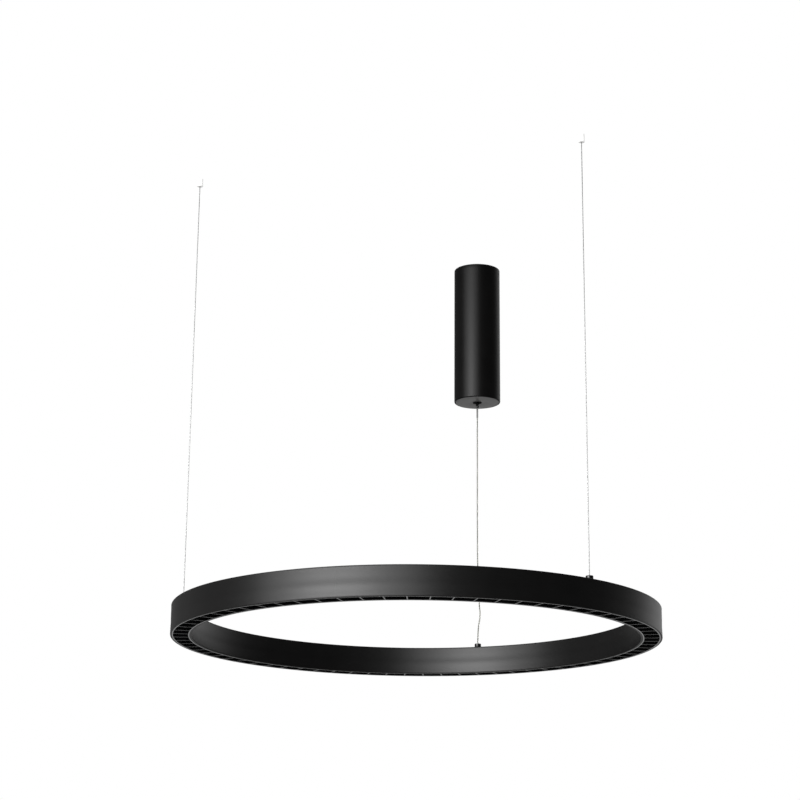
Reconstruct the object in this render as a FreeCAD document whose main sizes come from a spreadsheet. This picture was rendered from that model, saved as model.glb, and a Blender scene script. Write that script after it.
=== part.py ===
# A ring lamp on three lines: a louvred aluminium ring of LEDs hangs level on two steel wires and
# one thin power cord. The cord runs up into a cylindrical canopy that hides the driver.
# Millimetres, +Z up. The origin is the centre of the canopy's screw pattern on the ceiling.
import FreeCAD, Part
import Sketcher
import math
import os

doc = FreeCAD.newDocument("ring_pendant")

# Driving dimensions, all in millimetres unless the name says otherwise.
SIZES = [
    # The ring and how far it hangs
    ("ring_outer_radius", "300"),
    ("ring_width", "26"),
    ("ring_height", "35"),
    ("drop_length", "546"),
    ("outer_wall", "2"),
    ("inner_wall", "2.5"),
    ("top_web", "2"),
    ("middle_web", "1.5"),
    ("optics_depth", "18.5"),
    ("edge_break", "0.4"),
    ("seam_gap", "0.2"),
    ("ledge_width", "1.2"),
    ("ledge_thickness", "1"),
    ("fit_play", "0.1"),
    # The splice that closes the ring's butt joint
    ("splice_length", "50"),
    ("splice_screw_radius", "1.5"),
    ("splice_head_radius", "2.8"),
    ("splice_head_height", "1.6"),
    ("splice_screw_length", "8"),
    ("splice_screw_reach", "14"),
    ("splice_screw_spread", "5"),
    # The louvre
    ("cell_count", "72"),
    ("segment_count", "3"),
    ("segment_gap", "0.1"),
    ("louvre_height", "10"),
    ("louvre_rim", "1.5"),
    ("louvre_play", "0.15"),
    ("divider_thickness", "1.5"),
    # The lenses and the LED boards
    ("lens_plate", "1"),
    ("lens_top_radius", "2.2"),
    ("lens_exit_radius", "6.5"),
    ("board_thickness", "1.6"),
    ("board_play", "0.5"),
    ("chip_size", "3"),
    ("chip_height", "0.7"),
    # The connector in the ring
    ("connector_length", "16"),
    ("connector_width", "10"),
    ("connector_height", "8"),
    ("pin_radius", "0.5"),
    ("pin_spacing", "4"),
    ("pin_hole_radius", "4"),
    ("feed_tail_length", "32"),
    # The lines
    ("wire_radius", "0.5"),
    ("cord_radius", "0.9"),
    ("tail_length", "450"),
    ("tail_bend", "5.4"),
    ("tail_rest", "0.3"),
    ("seat_depth", "0.6"),
    ("cord_straight", "12"),
    # The wire grippers on the ring
    ("gripper_height", "6.2"),
    ("collar_radius", "4.4"),
    ("collar_wall", "0.75"),
    ("collar_top", "1.2"),
    ("collar_chamfer", "0.5"),
    ("collar_gap", "1.7"),
    ("collar_travel", "1.5"),
    ("stop_gap", "0.2"),
    ("thread_radius", "3"),
    ("thread_depth", "8"),
    ("thread_play", "0.05"),
    ("neck_radius", "3.2"),
    ("flange_radius", "3.5"),
    ("flange_thickness", "1.5"),
    ("nut_flats", "10"),
    ("nut_height", "3"),
    ("ball_radius", "0.65"),
    ("ball_gap", "0.02"),
    ("chamber_play", "0.3"),
    ("release_bore_play", "0.15"),
    ("release_wall", "0.6"),
    ("cone_height", "3.5"),
    ("cone_rise", "2"),
    ("plug_thickness", "1.5"),
    ("plug_bore_play", "0.2"),
    ("spring_wire", "0.2"),
    ("spring_offset", "0.95"),
    ("spring_turns", "5"),
    # The canopy
    ("canopy_radius", "32.5"),
    ("canopy_height", "197"),
    ("canopy_wall", "1.5"),
    ("canopy_chamfer", "1"),
    ("base_thickness", "3"),
    ("base_play", "0.05"),
    ("base_chamfer", "0.3"),
    ("bracket_thickness", "1.5"),
    ("bracket_play", "1"),
    ("ceiling_hole_spacing", "40"),
    ("ceiling_hole_radius", "2.25"),
    ("mains_hole_radius", "6"),
    ("tab_width", "12"),
    ("tab_height", "14"),
    ("tab_play", "1.2"),
    ("grub_radius", "1.5"),
    ("grub_length", "4.6"),
    ("grub_depth", "8"),
    ("grub_socket", "0.9"),
    ("grub_socket_depth", "1.5"),
    ("grub_recess", "0.3"),
    # The cradle and what hangs on it
    ("cradle_width", "40"),
    ("cradle_play", "1.1"),
    ("foot_length", "13"),
    ("foot_width", "20"),
    ("foot_screw_spacing", "12"),
    ("small_screw_radius", "1.5"),
    ("small_head_radius", "2.7"),
    ("small_head_height", "1.8"),
    ("terminal_drop", "26"),
    ("terminal_height", "16"),
    ("terminal_width", "30"),
    ("terminal_depth", "12"),
    ("terminal_mouth_radius", "1.75"),
    ("terminal_mouth_depth", "8"),
    ("terminal_pitch", "10"),
    ("earth_screw_drop", "14"),
    ("earth_screw_radius", "2"),
    ("earth_head_radius", "4"),
    ("earth_head_height", "2.4"),
    ("earth_screw_length", "4"),
    ("lead_radius", "0.8"),
    ("lead_gap", "8"),
    ("lead_entry", "2"),
    ("lead_play", "0.2"),
    ("primary_spacing", "12"),
    ("secondary_spacing", "5"),
    # The driver
    ("driver_depth", "26"),
    ("driver_width", "38"),
    ("driver_wall", "1.5"),
    ("driver_screw_inset", "16"),
    ("driver_board_offset", "5"),
    ("transformer_size", "18"),
    ("transformer_depth", "13"),
    ("winding_radius", "7"),
    ("winding_overhang", "2.5"),
    ("capacitor_radius", "5"),
    ("capacitor_length", "14"),
    ("capacitor_spacing", "15"),
    # The cord grip in the canopy's base
    ("cord_rise", "12"),
    ("cord_block_height", "12"),
    ("cord_block_length", "12"),
    ("cord_block_width", "10"),
    ("grip_length", "18"),
    ("grip_thread_radius", "5"),
    ("grip_flange_radius", "6.35"),
    ("grip_flange_thickness", "0.8"),
    ("grip_nut_flats", "14"),
    ("grip_nut_height", "4"),
    ("nipple_length", "7.4"),
    ("nipple_radius", "1.95"),
    ("nipple_chamfer", "0.5"),
    ("grip_ball_radius", "1"),
    ("grip_cone_height", "4"),
    ("grip_cone_low", "4"),
    ("grip_plug_thickness", "2"),
    ("grip_spring_wire", "0.25"),
    ("grip_spring_offset", "1.2"),
    ("grip_spring_turns", "6"),
    # The ceiling anchors of the two plain wires
    ("anchor_radius", "3.8"),
    ("anchor_wall", "0.8"),
    ("anchor_flange", "2.5"),
    ("anchor_spigot", "3.5"),
    ("anchor_spigot_wall", "0.75"),
    ("anchor_hole_radius", "1.6"),
    ("anchor_cap_height", "7.5"),
    ("anchor_cap_floor", "1.5"),
    ("anchor_cap_chamfer", "0.5"),
    ("wire_stop_radius", "1.4"),
    ("wire_stop_height", "2.5"),
]

# Where the feed hangs on the ring, and which lines follow it round the ring, in degrees
FEED_ANGLE = 90
LINE_NAMES = ["feed", "left", "right"]
SEAM_ANGLE = 270
QUARTER_TURN = 90

# The feed cord's free stretch, held straight by the weight with a small set just above the ring:
# sideways places and heights above the ring's top. The first and last follow the fittings.
CORD_ROUTE = [(-0.4, 128), (0.6, 100), (2.3, 73), (1.9, 60), (3.9, 45), (0, 26)]
# How much of the shorter run each of a cord's corners takes
CORNER_SHARE = 0.45
# The balls that grip each line
BALL_COUNT = 3

sheet = doc.addObject("Spreadsheet::Sheet", "sizes")
for row, (alias, number) in enumerate(SIZES, start=1):
    sheet.set(f"A{row}", alias)
    sheet.set(f"B{row}", number)
    sheet.setAlias(f"B{row}", alias)
doc.recompute()


class Size:
    """A named size or a sum of them, as the text of an expression and as its number."""

    def __init__(self, text, value):
        self.text = text
        self.value = value

    def __add__(self, other):
        other = as_size(other)
        return Size(f"({self.text} + {other.text})", self.value + other.value)

    def __sub__(self, other):
        other = as_size(other)
        return Size(f"({self.text} - {other.text})", self.value - other.value)

    def __radd__(self, other):
        return as_size(other) + self

    def __rsub__(self, other):
        return as_size(other) - self

    def __rmul__(self, other):
        return as_size(other) * self

    def __mul__(self, other):
        other = as_size(other)
        return Size(f"({self.text} * {other.text})", self.value * other.value)

    def __truediv__(self, other):
        other = as_size(other)
        return Size(f"({self.text} / {other.text})", self.value / other.value)

    def __rtruediv__(self, other):
        return as_size(other) / self


def as_size(number):
    if isinstance(number, Size):
        return number
    return Size(f"{number}", number)


def root(size):
    size = as_size(size)
    return Size(f"sqrt({size.text})", math.sqrt(size.value))


def cosine(angle):
    angle = as_size(angle)
    return Size(f"cos({angle.text})", math.cos(math.radians(angle.value)))


def sine(angle):
    angle = as_size(angle)
    return Size(f"sin({angle.text})", math.sin(math.radians(angle.value)))


def arc_angle(length, radius):
    """Degrees that a short length covers on a circle."""
    share = length / radius
    return Size(f"(atan({share.text}) / 1 deg)", math.degrees(math.atan(share.value)))


class Named:
    """The sheet's sizes by name."""

    def __getattr__(self, alias):
        return Size(f"sizes.{alias}", float(sheet.get(alias)))


s = Named()
NODES = []


def bind(thing, path, size):
    size = as_size(size)
    thing.setExpression(path, size.text)


def place(thing, x=0, y=0, z=0, turn=0, tilt=None):
    """Put a thing at x, y, z, turned about Z, or tilted by a rotation of its own."""
    thing.Placement.Rotation = tilt or FreeCAD.Rotation(FreeCAD.Vector(0, 0, 1), as_size(turn).value)
    for axis, size in (("x", x), ("y", y), ("z", z)):
        bind(thing, f"Placement.Base.{axis}", size)
    return thing


def node(label, thing):
    """Name a finished piece. Its label becomes the name of its file."""
    thing.Label = label
    NODES.append(thing)
    return thing


def box(name, length, width, height, x, y, z, turn=0):
    thing = doc.addObject("Part::Box", name)
    bind(thing, "Length", length)
    bind(thing, "Width", width)
    bind(thing, "Height", height)
    return place(thing, x, y, z, turn)


def rod(name, radius, length, x=0, y=0, z=0, tilt=None):
    thing = doc.addObject("Part::Cylinder", name)
    bind(thing, "Radius", radius)
    bind(thing, "Height", length)
    return place(thing, x, y, z, tilt=tilt)


ALONG_X = FreeCAD.Rotation(FreeCAD.Vector(0, 1, 0), 90)


def fuse(name, things):
    thing = doc.addObject("Part::MultiFuse", name)
    thing.Shapes = things
    return thing


def cut(name, base, tools):
    thing = doc.addObject("Part::Cut", name)
    thing.Base = base
    thing.Tool = tools[0] if len(tools) == 1 else fuse(f"{name}_tools", tools)
    return thing


def group(name, things):
    thing = doc.addObject("Part::Compound", name)
    thing.Links = things
    return thing


def origin_plane(body, role):
    for feature in body.Origin.OriginFeatures:
        if feature.Role == role:
            return feature


def draw_outline(sketch, corners):
    """Add a closed outline whose corners are tied to the sheet."""
    first = sketch.GeometryCount
    total = len(corners)
    start = [FreeCAD.Vector(math.cos(math.tau * i / total), math.sin(math.tau * i / total), 0)
             for i in range(total)]
    for i in range(total):
        sketch.addGeometry(Part.LineSegment(start[i], start[(i + 1) % total]), False)
    for i in range(total):
        after = first + (i + 1) % total
        sketch.addConstraint(Sketcher.Constraint("Coincident", first + i, 2, after, 1))
    for i, (across, up) in enumerate(corners):
        for kind, axis, size, guess in (("DistanceX", -2, across, start[i].x),
                                        ("DistanceY", -1, up, start[i].y)):
            size = as_size(size)
            if size.value == 0 and size.text == "0":
                sketch.addConstraint(Sketcher.Constraint("PointOnObject", first + i, 1, axis))
            else:
                tie = sketch.addConstraint(Sketcher.Constraint(kind, -1, 1, first + i, 1, guess))
                sketch.setExpression(f"Constraints[{tie}]", size.text)


def turned(name, *outlines, angle=360):
    """A body turned about its own Z axis from outlines of (radius, height) corners."""
    body = doc.addObject("PartDesign::Body", name)
    body.AllowCompound = True
    sketch = body.newObject("Sketcher::SketchObject", f"{name}_outline")
    sketch.AttachmentSupport = [(origin_plane(body, "XZ_Plane"), "")]
    sketch.MapMode = "FlatFace"
    for outline in outlines:
        draw_outline(sketch, outline)
    solid = body.newObject("PartDesign::Revolution", f"{name}_turn")
    solid.Profile = sketch
    solid.ReferenceAxis = (sketch, ["V_Axis"])
    bind(solid, "Angle", angle)
    return body


def add_primitive(body, kind, name, sizes, x, y, z):
    """Add a PartDesign primitive to a body, on its XY plane."""
    thing = doc.addObject(f"PartDesign::{kind}", name)
    body.addObject(thing)
    thing.AttachmentSupport = [(origin_plane(body, "XY_Plane"), "")]
    thing.MapMode = "FlatFace"
    for path, size in sizes:
        bind(thing, path, size)
    for axis, size in (("x", x), ("y", y), ("z", z)):
        bind(thing, f"AttachmentOffset.Base.{axis}", size)
    return thing


def repeat_round(body, feature, count, angle):
    """Repeat a feature round the body's Z axis, the last copy standing at the angle."""
    pattern = body.newObject("PartDesign::PolarPattern", f"{feature.Name}_round")
    pattern.Originals = [feature]
    pattern.Axis = (origin_plane(body, "Z_Axis"), [""])
    bind(pattern, "Occurrences", count)
    bind(pattern, "Angle", angle)
    body.Tip = pattern


def hexagon(name, flats, bore, height, x, y, z):
    """A plain hexagon nut."""
    prism = doc.addObject("Part::Prism", f"{name}_prism")
    prism.Polygon = 6
    bind(prism, "Circumradius", flats / root(3))
    bind(prism, "Height", height)
    place(prism, x, y, z)
    return cut(name, prism, [rod(f"{name}_bore", bore, height, x, y, z)])


def shaped(name, shape):
    thing = doc.addObject("Part::Feature", name)
    thing.Shape = shape
    return thing


def vector(x, y, z):
    return FreeCAD.Vector(as_size(x).value, as_size(y).value, as_size(z).value)


def swept(edges, radius):
    """A round bar along joined edges."""
    path = Part.Wire(edges)
    start = edges[0].valueAt(edges[0].FirstParameter)
    along = edges[0].tangentAt(edges[0].FirstParameter)
    section = Part.Wire([Part.makeCircle(radius, start, along)])
    bar = path.makePipeShell([section], True, False)
    expected = math.pi * radius ** 2 * path.Length
    print(f"  bar of {path.Length:.1f} mm, volume over section times length "
          f"{bar.Volume / expected:.4f}")
    return bar


def cord_edges(points):
    """Straight runs joined by tangent arcs, each as large as its two runs allow."""
    edges = []
    start = points[0]
    for before, corner, after in zip(points, points[1:], points[2:]):
        into = corner - before
        out = after - corner
        half_turn = into.getAngle(out) / 2
        reach = CORNER_SHARE * min(into.Length, out.Length)
        radius = reach / math.tan(half_turn)
        into.normalize()
        out.normalize()
        inward = (out - into).normalize()
        centre = corner + inward * (radius / math.cos(half_turn))
        near = corner - into * reach
        far = corner + out * reach
        edges.append(Part.LineSegment(start, near).toShape())
        edges.append(Part.Arc(near, centre - inward * radius, far).toShape())
        print(f"  corner radius {radius:.1f} mm")
        start = far
    edges.append(Part.LineSegment(start, points[-1]).toShape())
    return edges


def coil(mean_radius, wire, height, turns):
    """A round-wire spring standing on z = 0, on arcs of a quarter turn."""
    rise = height - 2 * wire
    quarters = int(4 * turns)

    def point(share):
        angle = math.tau * turns * share
        return FreeCAD.Vector(mean_radius * math.cos(angle), mean_radius * math.sin(angle),
                              wire + rise * share)

    edges = []
    for i in range(quarters):
        ends = [point((i + part) / quarters) for part in (0, 0.5, 1)]
        edges.append(Part.Arc(*ends).toShape())
    return swept(edges, wire)


# Places that several pieces share
ring_middle = s.ring_outer_radius - s.ring_width / 2
ring_y = 0 - ring_middle
ring_top = 0 - s.drop_length
ring_floor = ring_top - s.ring_height
channel_outer = s.ring_outer_radius - s.outer_wall
channel_inner = s.ring_outer_radius - s.ring_width + s.inner_wall
segment_angle = 360 / s.segment_count
cell_angle = 360 / s.cell_count
line_angles = {name: FEED_ANGLE + i * 360 / len(LINE_NAMES) for i, name in enumerate(LINE_NAMES)}
line_radii = {"feed": s.cord_radius, "left": s.wire_radius, "right": s.wire_radius}


def on_ring(radius, angle):
    """The x and y of a point on the ring, in the part's frame."""
    return radius * cosine(angle), ring_y + radius * sine(angle)


def place_on_ring(thing, height, turn=0):
    """Stand a piece that is turned about the ring's axis at a height above the ring's floor."""
    return place(thing, 0, ring_y, ring_floor + height, turn)


# The ring: a rolled aluminium profile with a closed upper chamber for the wires' ends and an
# open lower channel for the light. One butt joint closes it.
def make_ring():
    outer = s.ring_outer_radius
    inner = s.ring_outer_radius - s.ring_width
    height = s.ring_height
    ledge_low = s.louvre_height + s.lens_plate + s.fit_play
    ledge_high = ledge_low + s.ledge_thickness
    chamber_floor = s.optics_depth + s.middle_web
    skin = [
        (outer - s.edge_break, 0),
        (outer, s.edge_break),
        (outer, height - s.edge_break),
        (outer - s.edge_break, height),
        (inner + s.edge_break, height),
        (inner, height - s.edge_break),
        (inner, s.edge_break),
        (inner + s.edge_break, 0),
        (channel_inner, 0),
        (channel_inner, ledge_low),
        (channel_inner + s.ledge_width, ledge_low),
        (channel_inner + s.ledge_width, ledge_high),
        (channel_inner, ledge_high),
        (channel_inner, s.optics_depth),
        (channel_outer, s.optics_depth),
        (channel_outer, ledge_high),
        (channel_outer - s.ledge_width, ledge_high),
        (channel_outer - s.ledge_width, ledge_low),
        (channel_outer, ledge_low),
        (channel_outer, 0),
    ]
    chamber = [
        (channel_inner, chamber_floor),
        (channel_outer, chamber_floor),
        (channel_outer, height - s.top_web),
        (channel_inner, height - s.top_web),
    ]
    seam = arc_angle(s.seam_gap, ring_middle)
    profile = turned("profile_bar", skin, chamber, angle=360 - seam)
    place_on_ring(profile, 0, SEAM_ANGLE + seam.value / 2)

    tools = []
    for name, angle in line_angles.items():
        x, y = on_ring(ring_middle, angle)
        tools.append(rod(f"line_hole_{name}", s.thread_radius + s.thread_play, s.top_web, x, y,
                         ring_top - s.top_web))
    for i, (x, y) in enumerate(splice_places()):
        tools.append(rod(f"splice_hole_{i}", s.splice_screw_radius + s.thread_play, s.top_web, x, y,
                         ring_top - s.top_web))
        tools.append(countersink(f"splice_sink_{i}", x, y, s.thread_play))
    x, y = connector_place(s.connector_length / 2)
    tools.append(rod("pin_hole", s.pin_hole_radius, s.middle_web, x, y, ring_floor + s.optics_depth))
    node("ring_profile", cut("profile_drilled", profile, tools))


def splice_places():
    """The four splice screws, two each side of the butt joint."""
    places = []
    for side in (-1, 1):
        for row in (-1, 1):
            angle = SEAM_ANGLE + side * arc_angle(s.splice_screw_reach, ring_middle)
            places.append(on_ring(ring_middle + s.splice_screw_spread * row, angle))
    return places


def countersink(name, x, y, play):
    cone = doc.addObject("Part::Cone", name)
    bind(cone, "Radius1", s.splice_screw_radius + play)
    bind(cone, "Radius2", s.splice_head_radius + play)
    bind(cone, "Height", s.splice_head_height)
    return place(cone, x, y, ring_top - s.splice_head_height)


def make_splice():
    floor = s.optics_depth + s.middle_web + s.fit_play
    roof = s.ring_height - s.top_web
    outline = [
        (channel_inner + s.fit_play, floor),
        (channel_outer - s.fit_play, floor),
        (channel_outer - s.fit_play, roof),
        (channel_inner + s.fit_play, roof),
    ]
    span = arc_angle(s.splice_length, ring_middle)
    bar = turned("splice_bar", outline, angle=span)
    place_on_ring(bar, 0, SEAM_ANGLE - span.value / 2)
    holes = []
    screws = []
    for i, (x, y) in enumerate(splice_places()):
        low = ring_top - s.splice_screw_length
        holes.append(rod(f"splice_thread_{i}", s.splice_screw_radius + s.thread_play,
                         s.splice_screw_length, x, y, low))
        shank = rod(f"splice_shank_{i}", s.splice_screw_radius, s.splice_screw_length, x, y, low)
        screws.append(fuse(f"splice_screw_{i}", [shank, countersink(f"splice_head_{i}", x, y, 0)]))
    node("splice_block", cut("splice_drilled", bar, holes))
    node("splice_screws", group("splice_screw_set", screws))


# The louvre: three moulded segments whose rims press into the channel, flush with its edge.
def segment_starts():
    """Where the three segments of louvre, lens and board start. The feed hangs over the first."""
    return {name: angle - segment_angle.value / 2 for name, angle in line_angles.items()}


def make_louvre():
    outer = channel_outer - s.louvre_play
    inner = channel_inner + s.louvre_play
    outer_rim = [
        (outer - s.louvre_rim, 0),
        (outer, 0),
        (outer, s.louvre_height),
        (outer - s.louvre_rim, s.louvre_height),
    ]
    inner_rim = [
        (inner, 0),
        (inner + s.louvre_rim, 0),
        (inner + s.louvre_rim, s.louvre_height),
        (inner, s.louvre_height),
    ]
    for name, start in segment_starts().items():
        gap = arc_angle(s.segment_gap, ring_middle)
        body = turned(f"louvre_rims_{name}", outer_rim, inner_rim, angle=segment_angle - gap)
        divider = add_primitive(body, "AdditiveBox", f"divider_{name}", [
            ("Length", outer - inner - s.louvre_rim),
            ("Width", s.divider_thickness),
            ("Height", s.louvre_height),
        ], inner + s.louvre_rim / 2, 0, 0)
        repeat_round(body, divider, s.cell_count / s.segment_count, segment_angle - cell_angle)
        place_on_ring(body, 0, start)
        node(f"louvre_{name}", body)


# The light: three lens strips on the louvre's rims, and three boards stuck under the middle web.
def make_light():
    lens_low = s.louvre_height
    outer = channel_outer - s.louvre_play
    inner = channel_inner + s.louvre_play
    board_low = s.optics_depth - s.board_thickness
    chip_low = board_low - s.chip_height
    lens_height = chip_low - s.fit_play - s.lens_plate - lens_low
    gap = arc_angle(s.segment_gap, ring_middle)
    cell_middle = cell_angle / 2 + arc_angle(s.divider_thickness / 2, ring_middle)
    plate = [
        (inner, 0),
        (outer, 0),
        (outer, s.lens_plate),
        (inner, s.lens_plate),
    ]
    board = [
        (channel_inner + s.ledge_width + s.board_play, 0),
        (channel_outer - s.ledge_width - s.board_play, 0),
        (channel_outer - s.ledge_width - s.board_play, s.board_thickness),
        (channel_inner + s.ledge_width + s.board_play, s.board_thickness),
    ]
    strips = []
    boards = []
    chips = []
    for name, start in segment_starts().items():
        strip = turned(f"lens_strip_{name}", plate, angle=segment_angle - gap)
        lens = add_primitive(strip, "AdditiveCone", f"lens_{name}", [
            ("Radius1", s.lens_exit_radius),
            ("Radius2", s.lens_top_radius),
            ("Height", lens_height),
        ], ring_middle * cosine(cell_middle), ring_middle * sine(cell_middle), s.lens_plate)
        repeat_round(strip, lens, s.cell_count / s.segment_count, segment_angle - cell_angle)
        strips.append(place_on_ring(strip, lens_low, start))
        sheet_board = turned(f"board_{name}", board, angle=segment_angle - gap)
        boards.append(place_on_ring(sheet_board, board_low, start))
        body = doc.addObject("PartDesign::Body", f"chips_{name}")
        body.AllowCompound = True
        chip = add_primitive(body, "AdditiveBox", f"chip_{name}", [
            ("Length", s.chip_size),
            ("Width", s.chip_size),
            ("Height", s.chip_height),
        ], ring_middle - s.chip_size / 2, 0 - s.chip_size / 2, 0)
        repeat_round(body, chip, s.cell_count / s.segment_count, segment_angle - cell_angle)
        chips.append(place_on_ring(body, chip_low, start + cell_middle.value))
    node("lens_strips", group("lens_strip_set", strips))
    node("led_boards", group("board_set", boards))
    node("led_chips", group("chip_set", chips))


# The connector takes the cord's end in the upper chamber and feeds the board below through the web.
def connector_angle():
    return FEED_ANGLE + arc_angle(s.feed_tail_length + s.tail_rest, ring_middle)


def connector_place(along):
    """A point over the connector's middle line, a length along from its near face."""
    angle = connector_angle()
    x, y = on_ring(ring_middle, angle)
    return x - along * sine(angle), y + along * cosine(angle)


def make_connector():
    angle = connector_angle()
    floor = ring_floor + s.optics_depth + s.middle_web
    x, y = on_ring(ring_middle + s.connector_width / 2, angle)
    node("feed_connector", box("connector_block", s.connector_length, s.connector_width,
                               s.connector_height, x, y, floor, angle + QUARTER_TURN))
    pins = []
    for side in (-1, 1):
        x, y = connector_place(s.connector_length / 2 + s.pin_spacing / 2 * side)
        pins.append(rod(f"feed_pin_{side + 1}", s.pin_radius, s.middle_web, x, y,
                        ring_floor + s.optics_depth))
    node("feed_pins", group("feed_pin_set", pins))


# A wire gripper: balls in a cone hold the wire, a spring keeps them up against it, and pressing
# the collar down on the neck pushes them free.
def ball_seat(line, ball, chamber, guide, height):
    """How far a cone's wide end stands from the centre of a ball that rests in it."""
    slope = (chamber - guide) / height
    lean = root(1 + slope * slope)
    reach = line + ball + s.ball_gap + (ball + s.ball_gap) * lean
    return (chamber - reach) / slope


def ball_set(name, line, ball, x, y, z):
    balls = []
    centre = line + ball + s.ball_gap
    for i in range(BALL_COUNT):
        thing = doc.addObject("Part::Sphere", f"{name}_{i}")
        bind(thing, "Radius", ball)
        angle = i * 360 / BALL_COUNT
        place(thing, x + centre * cosine(angle), y + centre * sine(angle), z)
        balls.append(thing)
    return group(name, balls)


def make_gripper(name):
    x, y = on_ring(ring_middle, line_angles[name])
    line = line_radii[name]
    foot = ring_top - s.thread_depth
    bore = line + s.release_bore_play
    release = bore + s.release_wall
    guide = release + s.fit_play
    chamber = line + s.ball_radius * 2 + s.chamber_play
    cone_high = s.thread_depth + s.cone_rise
    cone_low = cone_high - s.cone_height
    skirt = s.collar_radius - s.collar_wall
    collar_under = s.gripper_height - s.collar_top
    neck_top = s.thread_depth + collar_under - s.collar_travel - s.stop_gap
    barrel = turned(f"barrel_{name}", [
        (s.thread_radius, 0),
        (s.thread_radius, s.thread_depth),
        (s.flange_radius, s.thread_depth),
        (s.flange_radius, s.thread_depth + s.flange_thickness),
        (s.neck_radius, s.thread_depth + s.flange_thickness),
        (s.neck_radius, neck_top),
        (guide, neck_top),
        (guide, cone_high),
        (chamber, cone_low),
        (chamber, 0),
    ])
    node(f"gripper_barrel_{name}", place(barrel, x, y, foot))

    ball_height = cone_low + ball_seat(line, s.ball_radius, chamber, guide, s.cone_height)
    balls = ball_set(f"balls_{name}", line, s.ball_radius, x, y, foot + ball_height)
    node(f"gripper_balls_{name}", balls)

    release_low = ball_height + s.ball_radius + s.fit_play - s.thread_depth
    collar = turned(f"collar_{name}", [
        (bore, release_low),
        (release, release_low),
        (release, collar_under),
        (skirt, collar_under),
        (skirt, s.collar_gap),
        (s.collar_radius, s.collar_gap),
        (s.collar_radius, s.gripper_height - s.collar_chamfer),
        (s.collar_radius - s.collar_chamfer, s.gripper_height),
        (bore, s.gripper_height),
    ])
    node(f"gripper_collar_{name}", place(collar, x, y, ring_top))

    spring_height = ball_height - s.ball_radius - s.fit_play - s.plug_thickness
    spring = shaped(f"spring_{name}", coil((line + s.spring_offset).value, s.spring_wire.value,
                                           spring_height.value, s.spring_turns.value))
    spring.Placement.Base = vector(x, y, foot + s.plug_thickness)
    node(f"gripper_spring_{name}", spring)

    plug = turned(f"plug_{name}", [
        (line + s.plug_bore_play, 0),
        (chamber - s.ball_gap, 0),
        (chamber - s.ball_gap, s.plug_thickness),
        (line + s.plug_bore_play, s.plug_thickness),
    ])
    nut = hexagon(f"nut_{name}", s.nut_flats, s.thread_radius + s.ball_gap, s.nut_height, x, y,
                  ring_top - s.top_web - s.nut_height)
    return place(plug, x, y, foot), nut


def make_grippers():
    plugs = []
    nuts = []
    for name in LINE_NAMES:
        plug, nut = make_gripper(name)
        plugs.append(plug)
        nuts.append(nut)
    node("gripper_plugs", group("plug_set", plugs))
    node("gripper_nuts", group("nut_set", nuts))


# The lines. Each free stretch ends just inside the collar below it, where its tail takes over.
def make_lines():
    joint = ring_top + s.gripper_height - s.seat_depth
    stop_top = 0 - s.anchor_flange - s.anchor_cap_height + s.anchor_cap_floor + s.wire_stop_height
    for name in ("left", "right"):
        x, y = on_ring(ring_middle, line_angles[name])
        node(f"wire_{name}", rod(f"free_wire_{name}", s.wire_radius, stop_top - joint, x, y, joint))

    exit_height = 0 - s.canopy_height - s.grip_flange_thickness - s.nipple_length + s.seat_depth
    points = [vector(0, 0, exit_height), vector(0, 0, exit_height - s.cord_straight)]
    points += [vector(x, 0, ring_top + height) for x, height in CORD_ROUTE]
    points.append(vector(0, 0, joint))
    print("feed cord")
    node("feed_cord", shaped("free_cord", swept(cord_edges(points), s.cord_radius.value)))
    top = 0 - s.canopy_height - s.grip_flange_thickness + s.grip_length + s.cord_rise
    node("feed_cord_inner", rod("inner_cord", s.cord_radius, top - exit_height, 0, 0, exit_height))

    # A plain wire's tail lies round the chamber away from the butt joint.
    turns = {"feed": 1, "left": -1, "right": 1}
    lengths = {"feed": s.feed_tail_length, "left": s.tail_length, "right": s.tail_length}
    labels = {"feed": "feed_tail", "left": "wire_tail_left", "right": "wire_tail_right"}
    for name in LINE_NAMES:
        print(labels[name])
        radius = line_radii[name].value
        floor = ring_floor + s.optics_depth + s.middle_web + line_radii[name] + s.tail_rest
        length = lengths[name] - s.tail_bend
        edges = tail_edges(line_angles[name], turns[name], joint.value, floor.value, length.value)
        node(labels[name], shaped(f"tail_{name}", swept(edges, radius)))


def tail_edges(angle, side, top, floor, length):
    """Down through the gripper, round a small bend and then along the ring's chamber."""
    outward = vector(cosine(angle), sine(angle), 0)
    along = FreeCAD.Vector(-outward.y, outward.x, 0) * side
    down = FreeCAD.Vector(0, 0, -1)
    bend = s.tail_bend.value
    hang = vector(*on_ring(ring_middle, angle), 0)
    head = hang + FreeCAD.Vector(0, 0, top)
    bend_start = hang + FreeCAD.Vector(0, 0, floor + bend)
    bend_centre = bend_start + along * bend
    bend_middle = bend_centre + (down - along).normalize() * bend
    bend_end = bend_centre + down * bend
    circle = ring_middle.value
    lay_centre = bend_end - outward * circle

    def laid(arc_length):
        turn = arc_length / circle
        return lay_centre + outward * (circle * math.cos(turn)) + along * (circle * math.sin(turn))

    return [
        Part.LineSegment(head, bend_start).toShape(),
        Part.Arc(bend_start, bend_middle, bend_end).toShape(),
        Part.Arc(bend_end, laid(length / 2), laid(length)).toShape(),
    ]


# The canopy: a bracket on the ceiling, a tube pushed up over its tabs, and a disc in the tube's end.
canopy_bore = s.canopy_radius - s.canopy_wall
canopy_floor = 0 - s.canopy_height
cradle_back = 0 - root((canopy_bore - s.cradle_play) * (canopy_bore - s.cradle_play)
                       - s.cradle_width * s.cradle_width / 4)
cradle_face = cradle_back + s.bracket_thickness
foot_low = 0 - s.bracket_thickness * 2
foot_screw_x = cradle_face + s.foot_length / 2


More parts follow.
